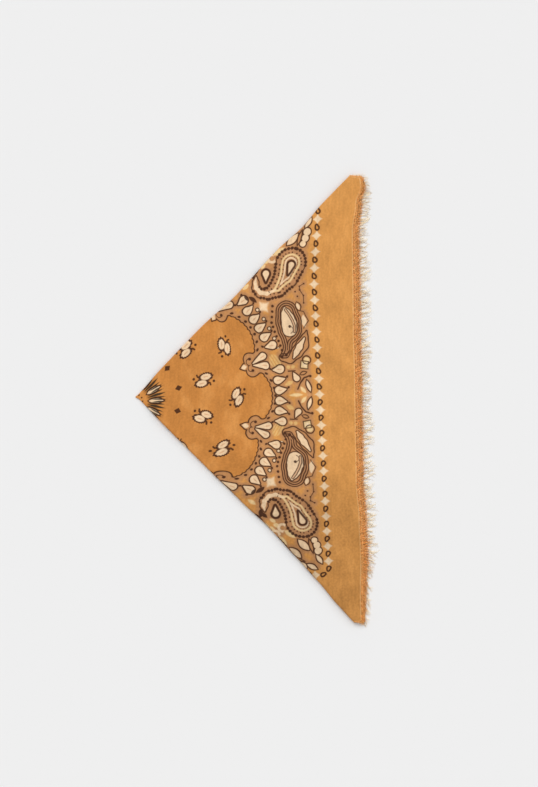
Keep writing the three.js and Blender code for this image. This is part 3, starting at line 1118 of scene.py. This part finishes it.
def dyed_colour(drawn, clouds):
    """The two grounds, worn in patches, with every paint over them in its turn."""
    far = printed(drawn)
    inside = far["field"].smooth(-0.5, 0.5)
    colour = laid_over(linear(BORDER_DYE), inside, FIELD_DYE)
    worn = clouds["patches"].smooth(0.46, 0.74) * (inside * 0.08 + 0.16)
    colour = laid_over(colour, worn, WORN_DYE)
    near = far["cream"].least(far["ink"]).least(far["halo"])
    from_chain = drawn.x.size().most(drawn.y.size()).smooth(CHAIN_LINE - 11, CHAIN_LINE - 6)
    printed_zone = (1 - inside) * (1 - near.smooth(0.6, 6.0)) * (1 - from_chain) * 0.85
    colour = laid_over(colour, printed_zone, AROUND_PRINT)
    for paint in PAINTS:
        mask = mask_of(far[paint["name"]], paint["soft"])
        if paint["name"] in ("ink", "grey ink"):
            # The dark paint is thin in places.
            mask = mask * (0.91 + clouds["patches"] * 0.2).least(1)
        colour = laid_over(colour, mask * paint["cover"], paint["colour"])
    return colour


def cloth_brightness(drawn, clouds):
    """How light the cloth is at each place. Towards one corner it is painted darker: painted shade."""
    amount = DARKEST - (0 - drawn.y).smooth(60, 190) * CORNER_PAINTED_SHADE
    for row in CLOUDS:
        if row["lightens"]:
            amount = amount + clouds[row["name"]] * row["lightens"]
    return amount


def weave_relief(drawn, clouds):
    """Plain weave: the threads of both ways pass over each other by turns."""
    threads_each_way = math.pi / WEAVE_PITCH
    over = (drawn.x * threads_each_way).sine() * (drawn.y * threads_each_way).sine()
    return over * 0.35 + clouds["slubs"] * 0.8 + clouds["fine"] * 0.5


def cotton_material():
    """Dyed and printed cotton: a mottled dye with painted shade towards one corner, the print, and a
    plain weave in relief.
    """
    material, tree, shader = new_material("printed cotton", 0.92, COTTON_SHINE)
    map_place = Value(tree, new_node(tree, "ShaderNodeUVMap", dict(uv_map="print")).outputs[0])
    place = map_place.get("ShaderNodeMapping", dict(vector_type="POINT"), {
        "Vector": map_place, "Location": (-PRINT_REACH / 2, -PRINT_REACH / 2, 0),
        "Scale": (PRINT_REACH, PRINT_REACH, 1),
    })
    drawn = wavered(place)
    clouds = {row["name"]: cloud(place, row) for row in CLOUDS}
    colour = dyed_colour(drawn, clouds)
    # A thin line along the raw edges is made lighter.
    edge = stored_value(tree, "out").smooth(1 - 2.0 / HALF, 1 - 1.1 / HALF)
    colour = laid_over(colour, edge * 0.75, PALER_EDGE_LINE)
    colour = shaded(colour, cloth_brightness(drawn, clouds))
    bump = new_node(tree, "ShaderNodeBump", None, {
        "Strength": 0.5, "Distance": RELIEF_HEIGHT * MM, "Height": weave_relief(drawn, clouds),
    })
    tree.links.new(bump.outputs[0], shader.inputs["Normal"])
    tree.links.new(colour.socket, shader.inputs["Base Color"])
    return material


def yarn_material():
    """Loose yarn: painted paler towards the threads' ends as painted light through the thin yarn, and
    lighter or darker thread by thread as painted shade.
    """
    material, tree, shader = new_material("frayed yarn", 0.95, COTTON_SHINE)
    end_light, thread = stored_value(tree, "end_light"), stored_value(tree, "thread")
    pale = end_light.smooth(0.2, 1.0) * (0.6 + thread * 0.6).least(1)
    colour = laid_over(linear(YARN_DYE), pale, YARN_END_LIGHT)
    # each thread is painted lighter or darker by its own number: painted shade between the threads
    colour = shaded(colour, 0.7 + thread * 0.6)
    tree.links.new(colour.socket, shader.inputs["Base Color"])
    return material


# The fringe: loose yarn ends along each layer's raw edge.

# Share along the raw edge from its lower end, lean of the threads in degrees upwards, their length
# as a share of the longest, and how much longer the upper layers' threads are there.
FRINGE_HABIT = table("along lean long upper", [
    (0, 0, 0.12, 1), (0.018, -20, 0.14, 1), (0.026, -62, 0.6, 2.2),
    (0.1, -50, 0.7, 2.4), (0.17, -18, 0.85, 2.0), (0.24, 0, 0.95, 1.2),
    (0.6, 10, 1, 1), (0.88, 18, 0.95, 1), (0.972, 12, 0.7, 1),
    (0.98, -10, 0.25, 1), (1, -20, 0.08, 1),
])
# Each layer's threads: spacing, shortest and longest length, resting height and width of a tuft in mm,
# and the share of their length past which they are painted quite pale, as painted light through the
# thin yarn.
LAYER_FRINGE = dict(
    top=dict(spacing=0.8, shortest=1.5, longest=7.0, rest=1.7, tuft=2.3, pale=2.2),
    second=dict(spacing=0.75, shortest=2.5, longest=8.5, rest=1.1, tuft=2.6, pale=1.6),
    third=dict(spacing=0.8, shortest=4.0, longest=11.5, rest=0.65, tuft=3.4, pale=0.8),
    bottom=dict(spacing=0.7, shortest=7.0, longest=19.5, rest=0.3, tuft=3.2, pale=0.42),
)
THREAD_RADIUS = 0.27
THREAD_POINTS = 9
KEPT_SHARE = 0.9  # the share of the threads that haven't broken off
ROOT_INSIDE = 0.6  # how far inside the raw edge the threads start
LEAN_TO_MIDDLE = 5.2  # degrees for each mm from a tuft's middle
# Loosened threads that lie along the edge: how far out of it, and how far they stray each way.
LOOSE_OUT = (0.9, 2.2)
LOOSE_STRAY = (4.4, 7.0, 0.9)


def edge_line(layer):
    """A layer's raw edge as a line of points, with the habit of the threads that leave it."""
    across = np.linspace(-1, 1, 500)
    x, y = place_on(1.0, across, STEPS[layer])
    z = layer_height(x, y, LEVELS[layer])
    points = np.column_stack([x + SHIFT[0] - ROOT_INSIDE, y + SHIFT[1], z]) * MM
    edges = [(i, i + 1) for i in range(len(points) - 1)]
    mesh = bpy.data.meshes.new("raw_edge_" + layer)
    mesh.from_pydata([tuple(p) for p in points], edges, [])
    along = (across + 1) / 2
    places = [row["along"] for row in FRINGE_HABIT]
    for name in ("lean", "long"):
        values = np.interp(along, places, [row[name] for row in FRINGE_HABIT])
        if name == "long" and layer in ("top", "second"):
            values *= np.interp(along, places, [row["upper"] for row in FRINGE_HABIT])
        attribute = mesh.attributes.new(name, "FLOAT", "POINT")
        attribute.data.foreach_set("value", values.astype(np.float32))
    return mesh


def fringe_tree():
    """Threads at even steps along a line, each with its own length, lean, curl and sag."""
    tree = bpy.data.node_groups.new("fringe threads", "GeometryNodeTree")
    face = tree.interface
    face.new_socket("Edge", in_out="INPUT", socket_type="NodeSocketGeometry")
    for name in ("Spacing", "Shortest", "Longest", "Thread radius", "Rest height", "Tuft", "Pale end"):
        face.new_socket(name, in_out="INPUT", socket_type="NodeSocketFloat")
    face.new_socket("Seed", in_out="INPUT", socket_type="NodeSocketInt")
    face.new_socket("Material", in_out="INPUT", socket_type="NodeSocketMaterial")
    face.new_socket("Threads", in_out="OUTPUT", socket_type="NodeSocketGeometry")
    given = tree.nodes.new("NodeGroupInput").outputs
    start = Value(tree, given["Spacing"])

    def own(name):
        return start.get("GeometryNodeInputNamedAttribute", dict(data_type="FLOAT"), {"Name": name})

    def chance(low, high, step):
        seed = start.math("ADD", given["Seed"], step)
        inputs = {2: low, 3: high, "Seed": seed}
        return start.get("FunctionNodeRandomValue", dict(data_type="FLOAT"), inputs, output=1)

    def stored(geometry, name, value):
        inputs = {"Geometry": geometry, "Name": name, "Value": value}
        settings = dict(data_type="FLOAT", domain="POINT")
        return start.get("GeometryNodeStoreNamedAttribute", settings, inputs)

    def vector(x=0.0, y=0.0, z=0.0):
        return start.get("ShaderNodeCombineXYZ", None, {0: x, 1: y, 2: z})

    def cloud(where, scale, detail, dimensions="3D", output=1):
        inputs = {"Vector": where, "Scale": scale, "Detail": detail}
        return start.get("ShaderNodeTexNoise", dict(noise_dimensions=dimensions), inputs, output)

    line = start.get("GeometryNodeMeshToCurve", None, {"Mesh": given["Edge"]})
    line = start.get("GeometryNodeResampleCurve", dict(mode="LENGTH"), {"Curve": line, "Length": start})
    tangent_x, tangent_y, _tangent_z = start.get("GeometryNodeInputTangent").parts()
    place = start.get("GeometryNodeInputPosition")
    here_x, here_y, here_z = place.parts()
    # Neighbours lean together and part in tufts a few millimetres wide.
    drift = (cloud(place, 1 / (9.2 * MM), 2.0, "2D", 0) - 0.5) * 2
    # A tuft's threads share one length and lean towards its middle.
    tuft_place = here_y / given["Tuft"] + drift * 0.5
    tuft = tuft_place.floor()
    from_middle = (tuft_place - tuft - 0.5) * given["Tuft"]
    tuft_number = tuft + Value(tree, given["Seed"]) * 0.37
    tuft_chance = start.get("ShaderNodeTexWhiteNoise", dict(noise_dimensions="1D"), {"W": tuft_number})
    outward = tangent_x.math("ARCTAN2", 0 - tangent_x, tangent_y)
    lean = own("lean") + drift * 16 + (tuft_chance - 0.5) * 26
    lean = lean - from_middle * (LEAN_TO_MIDDLE / MM) + chance(-3.0, 3.0, 1)
    turn = outward + lean.math("RADIANS", lean)
    spread = Value(tree, given["Longest"]) - given["Shortest"]
    share = tuft_chance * 0.75 + chance(0.0, 0.25, 2)
    reach = own("long") * (spread * share + given["Shortest"])
    line = stored(line, "thread", chance(0.0, 1.0, 3))
    line = stored(line, "reach", reach)
    line = stored(line, "root_height", here_z)
    strand = start.get("GeometryNodeCurvePrimitiveLine", None, {"Start": (0, 0, 0), "End": (1, 0, 0)})
    strand = start.get("GeometryNodeResampleCurve", dict(mode="COUNT"), {
        "Curve": strand, "Count": THREAD_POINTS,
    })
    turned = start.get("FunctionNodeEulerToRotation", None, {0: vector(z=turn)})
    kept = start.get("FunctionNodeRandomValue", dict(data_type="BOOLEAN"),
                     {"Probability": KEPT_SHARE, "Seed": given["Seed"]}, output=3)
    threads = start.get("GeometryNodeInstanceOnPoints", None, {
        "Points": line, "Selection": kept, "Instance": strand, "Rotation": turned,
        "Scale": vector(reach, 1.0, 1.0),
    })
    threads = start.get("GeometryNodeRealizeInstances", None, {"Geometry": threads})
    along = start.get("GeometryNodeSplineParameter")
    threads = stored(threads, "end_light", along / given["Pale end"])
    # Each thread curls and wanders more towards its end, and sags to what lies under it.
    thread, reach = own("thread"), own("reach")
    where = place.vector_math("ADD", {0: place, 1: vector(z=thread * 3.0)})
    wander = place.vector_math("SUBTRACT", {0: cloud(where, 210.0, 2.0), 1: (0.5, 0.5, 0.5)})
    stray = reach * along * (0.3 + thread * 0.35)
    wander = place.vector_math("SCALE", {0: wander, "Scale": stray})
    curl = (thread - 0.5) * reach * along * along * 0.75
    fall = (along * reach).smooth(0.5 * MM, 12.0 * MM)
    lift = reach * (0.02 + thread * 0.07) * along
    sag = (Value(tree, given["Rest height"]) - own("root_height")) * fall + lift
    offset = place.vector_math("ADD", {0: wander, 1: vector(y=curl, z=sag)})
    threads = start.get("GeometryNodeSetPosition", None, {"Geometry": threads, "Offset": offset})
    # Nothing goes below the floor.
    lowest = Value(tree, given["Thread radius"]) + 0.03 * MM
    raised = vector(here_x, here_y, here_z.most(lowest))
    threads = start.get("GeometryNodeSetPosition", None, {"Geometry": threads, "Position": raised})
    thin = (1 - along * 0.5) * (0.75 + thread * 0.5) * given["Thread radius"]
    round_shape = start.get("GeometryNodeCurvePrimitiveCircle", None, {"Resolution": 3, "Radius": 1.0})
    mesh = start.get("GeometryNodeCurveToMesh", None, {
        "Curve": threads, "Profile Curve": round_shape, "Scale": thin, "Fill Caps": True,
    })
    # Loosened threads lie in loops along the edge itself.
    loose = [mesh]
    stray_x, stray_y, stray_z = (stray * MM for stray in LOOSE_STRAY)
    for number, out in enumerate(LOOSE_OUT):
        spot = place.vector_math("ADD", {0: place, 1: (0, 0.01 * number, 0)})
        way = place.vector_math("MULTIPLY_ADD", {
            0: cloud(spot, 330.0, 1.0), 1: (stray_x, stray_y, stray_z),
            2: (out * MM - stray_x / 2, -stray_y / 2, -0.1 * MM),
        })
        loop = start.get("GeometryNodeSetPosition", None, {"Geometry": line, "Offset": way})
        loose.append(start.get("GeometryNodeCurveToMesh", None, {
            "Curve": loop, "Profile Curve": round_shape, "Scale": given["Thread radius"],
        }))
    together = tree.nodes.new("GeometryNodeJoinGeometry")
    for part in loose:
        tree.links.new(part.socket, together.inputs[0])
    mesh = start.get("GeometryNodeRealizeInstances", None, {"Geometry": together.outputs[0]})
    mesh = start.get("GeometryNodeSetMaterial", None, {"Geometry": mesh, "Material": given["Material"]})
    out = tree.nodes.new("NodeGroupOutput")
    tree.links.new(mesh.socket, out.inputs["Threads"])
    return tree


def set_inputs(modifier, values):
    """A tree's inputs by name, set through the sockets' identifiers."""
    for item in modifier.node_group.interface.items_tree:
        if item.item_type == "SOCKET" and item.in_out == "INPUT" and item.name in values:
            modifier[item.identifier] = values[item.name]


def make_fringe(layer, seed, tree, material):
    fringe = new_object("threads_" + layer, edge_line(layer))
    grow = fringe.modifiers.new("Threads", "NODES")
    grow.node_group = tree
    given = LAYER_FRINGE[layer]
    set_inputs(grow, {
        "Spacing": given["spacing"] * MM, "Shortest": given["shortest"] * MM,
        "Longest": given["longest"] * MM, "Thread radius": THREAD_RADIUS * MM,
        "Rest height": given["rest"] * MM, "Tuft": given["tuft"] * MM,
        "Pale end": given["pale"], "Seed": seed, "Material": material,
    })
    made_plain(fringe, "threads_" + layer)
    fringe.data.shade_smooth()
    return fringe


# The camera and the light
PHOTO_WIDE, PHOTO_HIGH = 538, 787
PIXEL = 1.2528  # mm in the picture
TIP_PIXEL = (135.5, 397.0)
CAMERA_HEIGHT = 2600.0
WORLD_STRENGTH = 0.632
SUN_STRENGTH = 1.18
SIDE_STRENGTH = 0.5
FLOOR_COLOUR = (0.875, 0.875, 0.875, 1)
FLOOR_REACH = 6.0  # in metres
FILM = 36


def add_camera():
    data = bpy.data.cameras.new("camera")
    camera = bpy.data.objects.new("camera", data)
    bpy.context.scene.collection.objects.link(camera)
    x = SHIFT[0] + (PHOTO_WIDE / 2 - TIP_PIXEL[0]) * PIXEL
    y = SHIFT[1] - (PHOTO_HIGH / 2 - TIP_PIXEL[1]) * PIXEL
    camera.location = (x * MM, y * MM, CAMERA_HEIGHT * MM)
    data.sensor_fit = "VERTICAL"
    data.sensor_height = FILM
    data.sensor_width = FILM
    data.lens = FILM * CAMERA_HEIGHT / (PHOTO_HIGH * PIXEL)
    bpy.context.scene.camera = camera


def add_floor():
    mesh = bpy.data.meshes.new("floor")
    far = FLOOR_REACH
    corners = [(-far, -far, 0), (far, -far, 0), (far, far, 0), (-far, far, 0)]
    mesh.from_pydata(corners, [], [(0, 1, 2, 3)])
    material, _tree, shader = new_material("floor paper", 0.9)
    shader.inputs["Base Color"].default_value = FLOOR_COLOUR
    mesh.materials.append(material)
    floor = new_object("floor", mesh)


def add_sun(name, place, spread, strength):
    """Even light from the direction of a place, with soft shadows for a wide spread in degrees."""
    data = bpy.data.lights.new(name, "SUN")
    data.angle = math.radians(spread)
    data.energy = strength
    lamp = bpy.data.objects.new(name, data)
    bpy.context.scene.collection.objects.link(lamp)
    lamp.location = place
    way = -lamp.location
    lamp.rotation_mode = "QUATERNION"
    lamp.rotation_quaternion = way.to_track_quat("-Z", "Y")


def add_light():
    world = bpy.data.worlds.new("studio")
    world.use_nodes = True
    background = world.node_tree.nodes["Background"].inputs
    background["Color"].default_value = (1, 1, 1, 1)
    background["Strength"].default_value = WORLD_STRENGTH
    bpy.context.scene.world = world
    add_sun("key light", (-0.3, 1.6, 1.7), 30, SUN_STRENGTH)
    add_sun("side light", (1.5, 1.1, 1.1), 24, SIDE_STRENGTH)
    bpy.context.scene.view_settings.view_transform = "Standard"


cloth = make_cloth(cotton_material())
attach(cloth, "root")
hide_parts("cloth")

thread_material = yarn_material()
fringe_threads = fringe_tree()
for number, layer in enumerate(LEVELS):
    fringe = make_fringe(layer, number, fringe_threads, thread_material)
    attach(fringe, "root")
    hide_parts("fringe_" + layer)
add_floor()
add_camera()
add_light()
